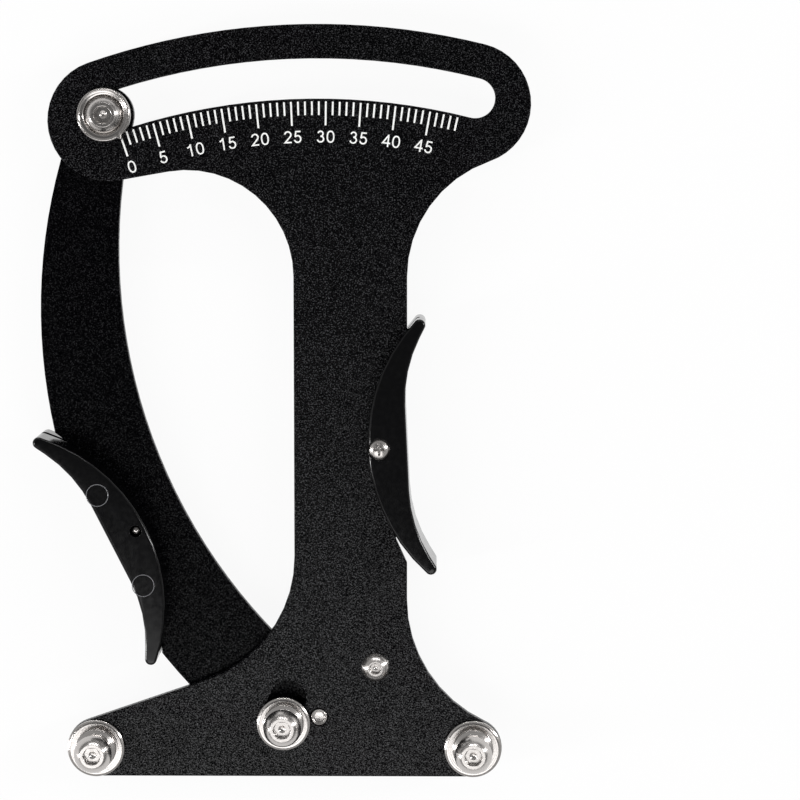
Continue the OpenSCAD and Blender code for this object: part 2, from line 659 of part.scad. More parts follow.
// The return spring: a straight leg on the post, the coil, and a leg that is bent into the lever
spring_steps = 24; // rings in a turn of the coil
wire_sides = 10;
bend_r = 1.8;
hook_top_z = gap_z - 0.4;
moving_leg = side(norm(hook_at), coil_r);
coil_rings = ceil(spring_steps * coil_angle / 360);
coil_pitch = (coil_high_z - coil_low_z) / (coil_angle / 360);
function coil_point(i) = let (t = i / coil_rings, p = polar(coil_r, fixed_dir - coil_angle * t))
    [p.x, p.y, coil_low_z + (coil_high_z - coil_low_z) * t];
function on_leg(dir, way, l, z) = let (p = polar(coil_r, dir) + way * polar(l, dir + 90)) [p.x, p.y, z];
spring_path = concat(
    [for (l = [fixed_leg, fixed_leg / 2, 1]) on_leg(fixed_dir, 1, l, coil_low_z)],
    [for (i = [0:coil_rings]) coil_point(i)],
    [for (l = [1, moving_leg / 2]) on_leg(moving_dir, -1, l, coil_high_z)],
    [for (a = [0:15:90]) on_leg(moving_dir, -1, moving_leg - bend_r * (1 - sin(a)),
        coil_high_z + bend_r * (1 - cos(a)))],
    [on_leg(moving_dir, -1, moving_leg, hook_top_z)]);
function way_at(path, i) = unit(path[min(i + 1, len(path) - 1)] - path[max(i - 1, 0)]);
// Rings round a path: each keeps the last one's roll, so that the tube doesn't twist
function side_on(way, last) = unit(last - way * (way * last));
function sides(path, i, last) = i == len(path) ? [] :
    let (s = side_on(way_at(path, i), last)) concat([s], sides(path, i + 1, s));
function tube_rings(path, r, n) = let (s = sides(path, 0, [0, 0, 1]))
    [for (i = [0:len(path) - 1]) let (t = cross(way_at(path, i), s[i]))
        [for (j = [0:n - 1]) path[i] + r * (cos(360 * j / n) * s[i] + sin(360 * j / n) * t)]];
module return_spring() color(bright) skin(tube_rings(spring_path, wire_r, wire_sides));
// The least gap between turns: points that are more than half a turn apart along the wire
spring_gaps = [for (i = [0:len(spring_path) - 1], j = [i + spring_steps / 2:1:len(spring_path) - 1])
    norm(spring_path[i] - spring_path[j]) - 2 * wire_r];
echo(str("least gap of the spring to itself: ", min(spring_gaps), " mm"));
echo(str("pitch of the spring: ", coil_pitch, " mm, turns: ", coil_angle / 360));

body_plate();
scale_ticks();
left_post();
right_post();
left_post_screw();
right_post_screw();
left_post_washer();
right_post_washer();
left_post_nut();
right_post_nut();
anchor_screw();
anchor_post();
body_grip();
body_grip_screw();
pivot_pin();
spring_hub();
return_spring();
front_thrust_washer();
rear_thrust_washer();
lever_plate();
pivot_bush();
centre_post();
centre_post_screw();
lever_grip();
lever_grip_screw();
pointer_slider();
pointer();
pointer_screw();
pointer_washer();
pointer_nut();
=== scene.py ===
import json
import math

import bmesh
import bpy
from mathutils import Matrix, Vector

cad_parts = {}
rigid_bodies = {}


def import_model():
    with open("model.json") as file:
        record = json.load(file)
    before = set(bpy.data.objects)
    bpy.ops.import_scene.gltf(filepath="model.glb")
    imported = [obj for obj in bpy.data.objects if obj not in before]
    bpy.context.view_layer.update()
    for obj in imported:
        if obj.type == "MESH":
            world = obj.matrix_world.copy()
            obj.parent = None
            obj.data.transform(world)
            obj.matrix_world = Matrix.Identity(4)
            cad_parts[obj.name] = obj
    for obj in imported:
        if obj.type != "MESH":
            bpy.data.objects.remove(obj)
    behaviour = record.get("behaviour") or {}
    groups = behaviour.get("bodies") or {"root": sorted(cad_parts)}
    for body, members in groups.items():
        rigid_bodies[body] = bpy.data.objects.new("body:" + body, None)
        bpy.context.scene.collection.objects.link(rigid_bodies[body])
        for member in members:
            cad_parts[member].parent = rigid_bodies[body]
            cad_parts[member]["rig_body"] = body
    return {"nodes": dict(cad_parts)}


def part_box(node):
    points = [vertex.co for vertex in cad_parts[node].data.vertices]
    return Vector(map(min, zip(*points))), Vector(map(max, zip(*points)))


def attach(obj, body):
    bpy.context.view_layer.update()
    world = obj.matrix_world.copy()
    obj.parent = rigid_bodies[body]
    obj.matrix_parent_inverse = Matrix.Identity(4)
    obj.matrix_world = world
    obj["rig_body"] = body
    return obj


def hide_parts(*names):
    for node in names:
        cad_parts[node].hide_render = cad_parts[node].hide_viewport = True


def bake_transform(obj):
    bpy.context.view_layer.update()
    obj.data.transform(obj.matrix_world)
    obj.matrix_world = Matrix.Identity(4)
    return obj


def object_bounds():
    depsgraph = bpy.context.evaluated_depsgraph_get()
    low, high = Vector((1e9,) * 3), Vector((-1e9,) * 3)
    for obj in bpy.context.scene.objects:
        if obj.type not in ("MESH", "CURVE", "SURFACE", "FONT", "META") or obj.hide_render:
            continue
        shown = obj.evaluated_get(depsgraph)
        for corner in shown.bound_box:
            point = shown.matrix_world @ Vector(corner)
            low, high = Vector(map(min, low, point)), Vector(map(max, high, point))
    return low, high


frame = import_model()
cadBox = [list(corner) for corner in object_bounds()]
mm = 0.001
tiny = 1e-7  # points closer than this are one point, in metres or in heights of a digit
print("stage: frame loaded, nodes:", len(frame["nodes"]))


def linearColor(hexCode):
    channels = [int(hexCode[i:i + 2], 16) / 255 for i in (1, 3, 5)]
    return [c / 12.92 if c <= 0.04045 else ((c + 0.055) / 1.055) ** 2.4 for c in channels] + [1]


# Sets a node's inputs to values, or to the sockets that feed them
def setInputs(tree, node, inputs):
    for socket, value in inputs.items():
        if isinstance(value, bpy.types.NodeSocket):
            tree.links.new(value, node.inputs[socket])
        else:
            node.inputs[socket].default_value = value


# Adds a node with its settings and inputs, and gives the output that is used
def addNode(tree, kind, inputs=None, output=0, **settings):
    node = tree.nodes.new(kind)
    for name, value in settings.items():
        setattr(node, name, value)
    setInputs(tree, node, inputs or {})
    return node.outputs[output]


def newMaterial(name):
    material = bpy.data.materials.new(name)
    material.use_nodes = True
    return material, material.node_tree, addNode(material.node_tree, "ShaderNodeTexCoord", output="Object")


def finished(material, inputs):
    tree = material.node_tree
    setInputs(tree, tree.nodes["Principled BSDF"], inputs)
    return material


# How many times a pattern of this size repeats in a metre
def perMetre(size):
    return 1 / (size * mm)


noiseSpan = {"From Min": 0.3, "From Max": 0.7}  # what a noise texture mostly stays within

# The pale grey of the specks and its From and To values give the painted glints on the coat
coatLook = {
    "base": "#020203", "paintedGlint": "#464649", "paintedGlintFrom": 0.56, "paintedGlintTo": 0.76, "glintFrom": 0.4,
    "glintTo": 0.6, "ior": 1.5, "roughness": 0.25, "uneven": 0.05, "grain": 0.34, "grainDepth": 0.04,
    "speck": 0.32,
}


# Epoxy powder coat, sprayed and baked on steel. Its fused grains leave a gritty skin, and a grain that leans
# towards a light glints on the deep black, brighter than the dips between. Pale specks in the colour are
# painted glints on top of these. The real grains are finer, and are drawn as coarse as they show. Gloss is
# the mean of the specular level over the grains.
def powderCoatedSteel(name, gritAndPaintedGlint, gloss):
    look = coatLook
    material, tree, coords = newMaterial(name)
    grains = addNode(tree, "ShaderNodeTexVoronoi", {"Vector": coords, "Scale": perMetre(look["grain"])})
    specks = addNode(tree, "ShaderNodeTexNoise", {
        "Vector": coords, "Scale": perMetre(look["speck"]), "Detail": 2})
    # Painted glints: pale specks mixed into the coat's colour, scaled with the grit's depth
    paintedGlints = addNode(tree, "ShaderNodeMapRange", {
        "Value": specks, "From Min": look["paintedGlintFrom"], "From Max": look["paintedGlintTo"],
        "To Min": 0, "To Max": gritAndPaintedGlint})
    glint = addNode(tree, "ShaderNodeMapRange", {
        "Value": specks, "From Min": look["glintFrom"], "From Max": look["glintTo"],
        "To Min": 0, "To Max": 2 * gloss})
    color = addNode(tree, "ShaderNodeMix", {
        0: paintedGlints, 6: linearColor(look["base"]), 7: linearColor(look["paintedGlint"])}, 2, data_type="RGBA")
    normal = addNode(tree, "ShaderNodeBump", {
        "Height": grains, "Distance": look["grainDepth"] * gritAndPaintedGlint * mm}, invert=True)
    roughness = addNode(tree, "ShaderNodeMapRange", {
        "Value": specks, **noiseSpan,
        "To Min": look["roughness"] - look["uneven"], "To Max": look["roughness"] + look["uneven"]})
    return finished(material, {
        "Base Color": color, "IOR": look["ior"], "Specular IOR Level": glint, "Roughness": roughness,
        "Normal": normal})


turnedLook = {
    "color": "#bfbbb8", "roughness": 0.19, "smoother": 0.03, "rougher": 0.04, "line": 0.5, "lineDepth": 0.006,
    "lineWander": 0.8, "waver": 0.4, "waverDepth": 0.003,
}
ringPeriod = math.pi / 10  # from ring to ring in a wave texture at a scale of 1


# Stainless steel, turned on a lathe and polished. Faint rings round the axis spread the reflections
# outwards, and small wavers in the polish break them up. The tool marks are finer than they are drawn.
def turnedStainless(name, axis):
    look = turnedLook
    material, tree, coords = newMaterial(name)
    centred = addNode(tree, "ShaderNodeVectorMath", {0: coords, 1: (axis.x, axis.y, 0)}, operation="SUBTRACT")
    rings = addNode(tree, "ShaderNodeTexWave", {
        "Vector": centred, "Scale": ringPeriod / (look["line"] * mm), "Distortion": look["lineWander"],
        "Detail": 1}, "Fac", wave_type="RINGS", rings_direction="Z")
    wavers = addNode(tree, "ShaderNodeTexNoise", {
        "Vector": coords, "Scale": perMetre(look["waver"]), "Detail": 3})
    polished = addNode(tree, "ShaderNodeBump", {"Height": wavers, "Distance": look["waverDepth"] * mm})
    grooved = addNode(tree, "ShaderNodeBump", {
        "Height": rings, "Distance": look["lineDepth"] * mm, "Normal": polished})
    roughness = addNode(tree, "ShaderNodeMapRange", {
        "Value": wavers, **noiseSpan,
        "To Min": look["roughness"] - look["smoother"], "To Max": look["roughness"] + look["rougher"]})
    return finished(material, {
        "Base Color": linearColor(look["color"]), "Metallic": 1, "Roughness": roughness, "Normal": grooved})


headedLook = {
    "color": "#c1bdba", "roughness": 0.24, "smoother": 0.03, "rougher": 0.05, "dent": 0.55,
    "dentDepth": 0.005,
}


# Stainless steel, cold headed. The skin from the die keeps small dents, so that the head glints unevenly.
def coldHeadedStainless(name, strength):
    look = headedLook
    material, tree, coords = newMaterial(name)
    dents = addNode(tree, "ShaderNodeTexNoise", {
        "Vector": coords, "Scale": perMetre(look["dent"]), "Detail": 3})
    normal = addNode(tree, "ShaderNodeBump", {"Height": dents, "Distance": look["dentDepth"] * strength * mm})
    roughness = addNode(tree, "ShaderNodeMapRange", {
        "Value": dents, **noiseSpan,
        "To Min": look["roughness"] - look["smoother"], "To Max": look["roughness"] + look["rougher"]})
    return finished(material, {
        "Base Color": linearColor(look["color"]), "Metallic": 1, "Roughness": roughness, "Normal": normal})


zincLook = {
    "color": "#b4b5b8", "cast": "#a7acb6", "roughness": 0.3, "patch": 3.5, "fine": 0.6, "fineDepth": 0.006,
}


# Zinc plating on steel, barrel plated and clear passivated. A soft grey shine with a faint blue
# cast in patches.
def zincPlatedSteel():
    look = zincLook
    material, tree, coords = newMaterial("zincPlatedSteel")
    patches = addNode(tree, "ShaderNodeTexNoise", {"Vector": coords, "Scale": perMetre(look["patch"])})
    fine = addNode(tree, "ShaderNodeTexNoise", {"Vector": coords, "Scale": perMetre(look["fine"])})
    color = addNode(tree, "ShaderNodeMix", {
        0: patches, 6: linearColor(look["color"]), 7: linearColor(look["cast"])}, 2, data_type="RGBA")
    normal = addNode(tree, "ShaderNodeBump", {"Height": fine, "Distance": look["fineDepth"] * mm})
    return finished(material, {
        "Base Color": color, "Metallic": 1, "Roughness": look["roughness"], "Normal": normal})


wireLook = {
    "color": "#8f8e90", "roughness": 0.3, "smoother": 0.05, "rougher": 0.12, "streak": 0.3,
    "streakDepth": 0.004,
}


# Music wire, cold drawn. The die leaves a grey skin with faint streaks.
def drawnMusicWire():
    look = wireLook
    material, tree, coords = newMaterial("drawnMusicWire")
    streaks = addNode(tree, "ShaderNodeTexNoise", {
        "Vector": coords, "Scale": perMetre(look["streak"]), "Detail": 3})
    normal = addNode(tree, "ShaderNodeBump", {"Height": streaks, "Distance": look["streakDepth"] * mm})
    roughness = addNode(tree, "ShaderNodeMapRange", {
        "Value": streaks, **noiseSpan,
        "To Min": look["roughness"] - look["smoother"], "To Max": look["roughness"] + look["rougher"]})
    return finished(material, {
        "Base Color": linearColor(look["color"]), "Metallic": 1, "Roughness": roughness, "Normal": normal})


bronzeLook = {
    "color": "#9c7a4a", "dark": "#6d5230", "roughness": 0.42, "pore": 0.2, "poreFrom": 0.5, "poreTo": 0.7,
}


# Bronze, pressed from powder and sintered. The oil in its pores leaves dark specks on a dull gold.
def sinteredBronze():
    look = bronzeLook
    material, tree, coords = newMaterial("sinteredBronze")
    powder = addNode(tree, "ShaderNodeTexNoise", {"Vector": coords, "Scale": perMetre(look["pore"])})
    pores = addNode(tree, "ShaderNodeMapRange", {
        "Value": powder, "From Min": look["poreFrom"], "From Max": look["poreTo"], "To Min": 0, "To Max": 1})
    color = addNode(tree, "ShaderNodeMix", {
        0: pores, 6: linearColor(look["color"]), 7: linearColor(look["dark"])}, 2, data_type="RGBA")
    return finished(material, {"Base Color": color, "Metallic": 1, "Roughness": look["roughness"]})


# The pale grey is a painted highlight, for the rings of the ejector marks
absLook = {
    "color": "#030304", "paintedHighlight": "#77777a", "ior": 1.54, "specular": 0.3, "roughness": 0.15,
    "smoother": 0.02, "rougher": 0.05, "sink": 6, "sinkDepth": 0.02, "scuff": 1.2, "scuffFrom": 0.35,
    "scuffTo": 0.75,
}


# ABS, injection moulded in a polished tool. Deep black with thin sharp highlights along its edges,
# which waver where the plastic sank a little as it cooled.
def mouldedAbs(name, hexCode):
    look = absLook
    material, tree, coords = newMaterial(name)
    sinks = addNode(tree, "ShaderNodeTexNoise", {
        "Vector": coords, "Scale": perMetre(look["sink"]), "Detail": 1})
    scuffs = addNode(tree, "ShaderNodeTexNoise", {
        "Vector": coords, "Scale": perMetre(look["scuff"]), "Detail": 3})
    normal = addNode(tree, "ShaderNodeBump", {"Height": sinks, "Distance": look["sinkDepth"] * mm})
    roughness = addNode(tree, "ShaderNodeMapRange", {
        "Value": scuffs, "From Min": look["scuffFrom"], "From Max": look["scuffTo"],
        "To Min": look["roughness"] - look["smoother"], "To Max": look["roughness"] + look["rougher"]})
    return finished(material, {
        "Base Color": linearColor(hexCode), "IOR": look["ior"], "Specular IOR Level": look["specular"],
        "Roughness": roughness, "Normal": normal})


nylonLook = {"color": "#1d1d1f", "ior": 1.53, "roughness": 0.45, "grain": 0.4, "grainDepth": 0.01}


# Nylon, dyed black and injection moulded. Waxy, with a dull even sheen.
def mouldedNylon():
    look = nylonLook
    material, tree, coords = newMaterial("mouldedNylon")
    grains = addNode(tree, "ShaderNodeTexNoise", {"Vector": coords, "Scale": perMetre(look["grain"])})
    normal = addNode(tree, "ShaderNodeBump", {"Height": grains, "Distance": look["grainDepth"] * mm})
    return finished(material, {
        "Base Color": linearColor(look["color"]), "IOR": look["ior"], "Roughness": look["roughness"],
        "Normal": normal})


inkLook = {
    "color": "#f6f6f4", "thin": "#d6d6d6", "roughness": 0.5, "specular": 0.2, "grain": 0.4, "thinFrom": 0.55,
    "thinTo": 0.8,
}


# Epoxy ink, screen printed in white on the coat. Flat and even, a little thinner on the grains.
def screenPrintedInk():
    look = inkLook
    material, tree, coords = newMaterial("screenPrintedInk")
    grains = addNode(tree, "ShaderNodeTexNoise", {"Vector": coords, "Scale": perMetre(look["grain"])})
    thin = addNode(tree, "ShaderNodeMapRange", {
        "Value": grains, "From Min": look["thinFrom"], "From Max": look["thinTo"], "To Min": 0, "To Max": 1})
    color = addNode(tree, "ShaderNodeMix", {
        0: thin, 6: linearColor(look["color"]), 7: linearColor(look["thin"])}, 2, data_type="RGBA")
    return finished(material, {
        "Base Color": color, "Roughness": look["roughness"], "Specular IOR Level": look["specular"]})


coat = powderCoatedSteel("powderCoatedSteel", gritAndPaintedGlint=1, gloss=0.17)
# The lever's coat has fewer painted glints as well as less grit
leverCoat = powderCoatedSteel("powderCoatedLever", gritAndPaintedGlint=0.3, gloss=0.06)  # sprayed thinner, so smoother
headed = coldHeadedStainless("coldHeadedStainless", strength=1)
peened = coldHeadedStainless("peenedSteel", strength=12)
zinc = zincPlatedSteel()
wire = drawnMusicWire()
bronze = sinteredBronze()
plastic = mouldedAbs("mouldedAbs", absLook["color"])
# A pale copy of the ABS, the painted highlight on the ejector marks
paintedHighlight = mouldedAbs("paintedHighlightAbs", absLook["paintedHighlight"])
nylon = mouldedNylon()
ink = screenPrintedInk()
print("stage: materials made")


def middleOf(node):
    low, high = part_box(node)
    return (low + high) / 2


def placed(name, data):
    item = bpy.data.objects.new(name, data)
    bpy.context.scene.collection.objects.link(item)
    return item


def newPiece(name, mesh, material, body):
    mesh.materials.clear()
    mesh.materials.append(material)
    piece = placed(name, mesh)
    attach(piece, body)
    return piece


# Makes the mesh of a bmesh, smooth up to the angle from which its edges are sharp, if one is given
def meshFrom(shape, name, sharpAngle=None):
    mesh = bpy.data.meshes.new(name)
    shape.to_mesh(mesh)
    shape.free()
    if "custom_normal" in mesh.attributes:
        mesh.attributes.remove(mesh.attributes["custom_normal"])
    if sharpAngle is not None:
        mesh.shade_smooth()
        mesh.set_sharp_from_angle(angle=math.radians(sharpAngle))
    return mesh


softEdge = {
    "plate": 0.2, "post": 0.12, "screw": 0.06, "gripScrew": 0.04, "grip": 0.06, "segments": 3,
    "sharpAngle": 32, "plateSharpAngle": 50, "screwSharpAngle": 24, "weld": 0.002, "flatAngle": 0.4,
    "tipShare": 0.15,
}


# The same solid as a CAD node, with the small radii that its edges have as made
def softened(node, material, edge, sharpAngle=softEdge["sharpAngle"], joinFlats=True, reshape=None):
    source = frame["nodes"][node]
    shape = bmesh.new()
    shape.from_mesh(source.data)
    bmesh.ops.remove_doubles(shape, verts=shape.verts, dist=softEdge["weld"] * mm)
    if joinFlats:
        bmesh.ops.dissolve_limit(shape, angle_limit=math.radians(softEdge["flatAngle"]), verts=shape.verts,
                                 edges=shape.edges)
    if reshape:
        reshape(shape)
    mesh = meshFrom(shape, node, sharpAngle)
    piece = newPiece(node + "_piece", mesh, material, source["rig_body"])
    bevel = piece.modifiers.new("edges", "BEVEL")
    bevel.width = edge * mm
    bevel.segments = softEdge["segments"]
    bevel.limit_method = "ANGLE"
    bevel.angle_limit = math.radians(sharpAngle)
    bevel.use_clamp_overlap = False  # or the shortest edges of the CAD mesh would make every radius tiny
    even = piece.modifiers.new("evenNormals", "WEIGHTED_NORMAL")
    even.keep_sharp = True
    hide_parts(node)


softened("body_plate", coat, softEdge["plate"], softEdge["plateSharpAngle"])
softened("lever_plate", leverCoat, softEdge["plate"], softEdge["plateSharpAngle"])
for node in ("left_post", "right_post", "centre_post"):
    finish = turnedStainless("turnedStainless_" + node, middleOf(node))
    softened(node, finish, softEdge["post"])
for node in ("left_post_screw", "right_post_screw", "centre_post_screw", "pointer_screw", "anchor_screw"):
    softened(node, headed, softEdge["screw"], softEdge["screwSharpAngle"])


# Draws the blunt end of a grip's screw to the point that a self-tapping screw has. The end lies furthest
# from the head, which has the outermost points.
def sharpened(shape):
    head = min(shape.verts, key=lambda v: v.co.x).co.z
    end = max((v.co.z for v in shape.verts), key=lambda z: abs(z - head))
    tip = [v for v in shape.verts if abs(v.co.z - end) < softEdge["weld"] * mm]
    axis = sum((v.co.xy for v in tip), Vector((0, 0))) / len(tip)
    for v in tip:
        v.co.xy = axis + (v.co.xy - axis) * softEdge["tipShare"]


for node in ("body_grip_screw", "lever_grip_screw"):
    softened(node, headed, softEdge["gripScrew"], reshape=sharpened)
for node in ("body_grip", "lever_grip"):
    softened(node, plastic, softEdge["grip"], joinFlats=False)


turning = {"steps": 96, "fineSteps": 360, "sharpAngle": 40}


# A closed outline of (radius, height) turned round an upright axis. What swell adds to the radii from the
# outline's point number swellFrom to number swellTo lets the turned form have a beak.
def turnedMesh(name, outline, centre, lowZ, steps=turning["steps"], swell=None, swellFrom=0, swellTo=0):
    shape = bmesh.new()
    columns = []
    for i in range(steps):
        angle = 2 * math.pi * i / steps
        column = []
        for k, (radius, height) in enumerate(outline):
            reach = radius + (swell(angle) if swell and swellFrom <= k <= swellTo else 0)
            column.append(shape.verts.new((centre.x + reach * mm * math.cos(angle),
                                           centre.y + reach * mm * math.sin(angle), lowZ + height * mm)))
        columns.append(column)
    last = len(outline) if outline[0][0] > 0 else len(outline) - 1  # no face along the axis itself
    for i, column in enumerate(columns):
        after = columns[(i + 1) % steps]
        for k in range(last):
            m = (k + 1) % len(outline)
            shape.faces.new((column[k], after[k], after[m], column[m]))
    bmesh.ops.remove_doubles(shape, verts=shape.verts, dist=tiny)
    bmesh.ops.recalc_face_normals(shape, faces=shape.faces)
    return meshFrom(shape, name, turning["sharpAngle"])


pointerForm = {
    "hole": 2.6, "floor": 0.9, "cup": 4.85, "rim": 6.6, "beakAngle": -53.9, "beakReach": 7.65,
    "beakWidth": 7.5, "beakPower": 1.35, "beakFrom": 11, "beakTo": 17,
}


# Stamped dished washer: a rolled rim with a shallow groove, and a fine beak drawn out of it, which the
# outline's points from beakFrom to beakTo follow
def pressedPointer():
    form = pointerForm
    low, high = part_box("pointer")
    top = (high.z - low.z) / mm

    def beak(angle):
        apart = abs((math.degrees(angle) - form["beakAngle"] + 180) % 360 - 180) / form["beakWidth"]
        return (form["beakReach"] - form["rim"]) * max(0, 1 - apart) ** form["beakPower"]

    outline = [
        (form["hole"], 0), (form["hole"], form["floor"]), (form["cup"] - 0.25, form["floor"]),
        (form["cup"] - 0.07, form["floor"] + 0.07), (form["cup"], form["floor"] + 0.25),
        (form["cup"], top - 0.5), (form["cup"] + 0.04, top - 0.4), (form["cup"] + 0.15, top - 0.33),
        (form["cup"] + 0.6, top - 0.24), (form["rim"] - 0.85, top - 0.2), (form["rim"] - 0.7, top - 0.16),
        (form["rim"] - 0.55, top - 0.04), (form["rim"] - 0.42, top), (form["rim"] - 0.25, top - 0.06),
        (form["rim"] - 0.08, top - 0.2), (form["rim"], top - 0.4), (form["rim"], 0.12),
        (form["rim"] - 0.12, 0),
    ]
    centre = middleOf("pointer_screw")
    mesh = turnedMesh("pointer", outline, centre, low.z, turning["fineSteps"], beak, form["beakFrom"],
                      form["beakTo"])
    finish = turnedStainless("turnedStainless_pointer", centre)
    piece = newPiece("pointer_piece", mesh, finish, frame["nodes"]["pointer"]["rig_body"])
    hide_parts("pointer")


pressedPointer()

markForm = {"radius": 2.7, "halfWidth": 0.1, "proud": 0.04, "grooveDepth": 0.15}


# Flash that the mould's ejector pins left: two thin rings on the grip, in a pale grey that is a painted
# highlight along their edges
def ejectorMarks():
    form = markForm
    grip = frame["nodes"]["lever_grip"]
    screwY = middleOf("lever_grip_screw").y
    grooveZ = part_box("lever_grip")[1].z - form["grooveDepth"] * mm
    groove = [v.co.copy() for v in grip.data.vertices if abs(v.co.z - grooveZ) < form["halfWidth"] * mm / 2]
    radius, half, top = form["radius"], form["halfWidth"], form["grooveDepth"] + form["proud"]
    outline = [
        (radius - half, 0), (radius - half, top - half), (radius - half * 0.7, top - half * 0.3),
        (radius, top), (radius + half * 0.7, top - half * 0.3), (radius + half, top - half),
        (radius + half, 0),
    ]
    for name, points in (("upper", [p for p in groove if p.y > screwY]),
                         ("lower", [p for p in groove if p.y < screwY])):
        centre = sum(points, Vector()) / len(points)
        mesh = turnedMesh("ejector_mark_" + name, outline, centre, grooveZ)
        newPiece("ejector_mark_" + name, mesh, paintedHighlight, grip["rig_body"])


ejectorMarks()

pinForm = {"thread": 2, "shoulder": 3, "headTop": 1.2, "shoulderTop": 9.9, "dish": 0.3, "edge": 0.2}


# Shouldered pin, whose threaded front end was peened over: a burnished rim round a dished middle
def peenedPin():
    form = pinForm
    low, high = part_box("pivot_pin")
    head = (high.x - low.x) / 2 / mm
    top = (high.z - low.z) / mm
    thread = form["thread"]
    outline = [
        (0, 0), (head - form["edge"], 0), (head - 0.06, 0.06), (head, form["edge"]),
        (head, form["headTop"] - 0.1), (head - 0.1, form["headTop"]), (form["shoulder"], form["headTop"]),
        (form["shoulder"], form["shoulderTop"]), (thread, form["shoulderTop"]), (thread, top - 0.25),
        (thread - 0.05, top - 0.08), (thread - 0.2, top), (thread - 0.35, top - 0.04),
        (thread - 0.6, top - 0.17), (thread - 1, top - form["dish"] + 0.05), (0, top - form["dish"]),
    ]
    mesh = turnedMesh("pivot_pin", outline, middleOf("pivot_pin"), low.z)
    piece = newPiece("pivot_pin_piece", mesh, peened, frame["nodes"]["pivot_pin"]["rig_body"])
    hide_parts("pivot_pin")


peenedPin()

plainNodes = {
    "left_post_washer": zinc, "right_post_washer": zinc, "left_post_nut": zinc, "right_post_nut": zinc,
    "anchor_post": zinc, "rear_thrust_washer": zinc, "pointer_washer": zinc, "pointer_nut": zinc,
    "spring_hub": nylon, "front_thrust_washer": nylon, "pointer_slider": nylon, "pivot_bush": bronze,
    "scale_ticks": ink,
}
# These keep their CAD shape
for node, material in plainNodes.items():
    for materialSlot in frame["nodes"][node].material_slots:
        materialSlot.material = material
print("stage: frame nodes finished")


numerals = {
    "height": 3.0, "stroke": 0.37, "advance": 2.4, "middleRadius": 145.0, "zeroAngle": 18.35,
    "step": 0.639, "every": 5, "last": 45, "inkThickness": 0.05, "thinner": 0.9, "layerShare": 0.04,
    "sharpestMitre": 0.4,
}


def arcPoints(cx, cy, rx, ry, start, end, count=16):
    return [(cx + rx * math.cos(math.radians(start + (end - start) * i / count)),
             cy + ry * math.sin(math.radians(start + (end - start) * i / count))) for i in range(count + 1)]


def ovalPoints(cx, cy, rx, ry, power, count=32):
    points = []
    for i in range(count + 1):
        c, s = math.cos(2 * math.pi * i / count), math.sin(2 * math.pi * i / count)
        points.append((cx + rx * math.copysign(abs(c) ** (2 / power), c),
                       cy + ry * math.copysign(abs(s) ** (2 / power), s)))
    return points


# Each digit's strokes along their middle lines, in a box one unit high
digitStrokes = {
    "0": [ovalPoints(0.385, 0.5, 0.265, 0.44, 2.3)],
    "1": [[(0.46, 0), (0.46, 0.995)], [(0.46, 0.9), (0.34, 0.8), (0.18, 0.72)]],
    "2": [arcPoints(0.385, 0.695, 0.25, 0.245, 172, -38) + [(0.14, 0.065), (0.68, 0.065)]],
    "3": [arcPoints(0.365, 0.735, 0.205, 0.205, 168, -90), arcPoints(0.36, 0.3, 0.255, 0.24, 92, -168)],
    "4": [[(0.53, 0), (0.53, 1)], [(0.53, 0.97), (0.1, 0.3), (0.72, 0.3)]],
    "5": [[(0.64, 0.935), (0.245, 0.935), (0.175, 0.5)], arcPoints(0.37, 0.33, 0.26, 0.27, 142, -166)],
}


# Adds a ribbon along the stroke's middle line, with its corners mitred
def strokeMesh(shape, points, width, toPlate, lift):
    sides = []
    closed = math.dist(points[0], points[-1]) < tiny
    for i, (x, y) in enumerate(points):
        last = points[i - 1] if i else (points[-2] if closed else points[0])
        after = points[i + 1] if i + 1 < len(points) else (points[1] if closed else points[-1])
        inward = Vector((x, y)) - Vector(last)
        outward = Vector(after) - Vector((x, y))
        inward = inward.normalized() if inward.length > tiny else outward.normalized()
        outward = outward.normalized() if outward.length > tiny else inward
        along = (inward + outward).normalized()
        reach = width / 2 / max(numerals["sharpestMitre"], along.dot(outward))
        offset = Vector((-along.y, along.x)) * reach
        sides.append([toPlate(x + offset.x * k, y + offset.y * k, lift) for k in (1, -1)])
    rows = [[shape.verts.new(point) for point in pair] for pair in sides]
    for a, b in zip(rows, rows[1:]):
        shape.faces.new((a[0], a[1], b[1], b[0]))


# A number along the scale. Each stroke of a digit lies a little higher than the last and its ink ends just
# above the coat, so that none flicker.
def printedNumber(value):
    n = numerals
    angle = math.radians(n["zeroAngle"] - value * n["step"])
    digits = str(value)
    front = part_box("body_plate")[1].z
    shape = bmesh.new()
    for column, digit in enumerate(digits):
        def toPlate(x, y, lift):
            u = (x * n["height"] + (column - len(digits) / 2) * n["advance"]) * mm
            v = (n["middleRadius"] + (y - 0.5) * n["height"]) * mm
            return (u * math.cos(angle) - v * math.sin(angle), u * math.sin(angle) + v * math.cos(angle),
                    front + n["inkThickness"] * mm * (1 + n["layerShare"] * lift))
        for lift, points in enumerate(digitStrokes[digit]):
            strokeMesh(shape, points, n["stroke"] / n["height"], toPlate, lift)
    bmesh.ops.recalc_face_normals(shape, faces=shape.faces)
    name = "number_%d" % value
    piece = newPiece(name, meshFrom(shape, name), ink, "body")
    solid = piece.modifiers.new("ink", "SOLIDIFY")
    solid.thickness = n["inkThickness"] * mm * n["thinner"]
    solid.offset = -1


for value in range(0, numerals["last"] + 1, numerals["every"]):
    printedNumber(value)
print("stage: numbers printed")


# Wire, coil and anchorRadius are radii. The legs' directions come off the turns and leave about 1.4.
spring = {
    "wire": 0.8, "coil": 7.4, "lowZ": 2.3, "highZ": 5.5, "hookZ": 8.7, "turns": 2, "fixedLeg": 20,
    "anchor": (14.2, 12.7), "anchorRadius": 2.6, "hook": (-12, 13), "bend": 1.8, "gap": 0.05,
    "stepsPerTurn": 72, "fixedSteps": 12, "movingSteps": 8, "sides": 18, "sharpAngle": 50,
}


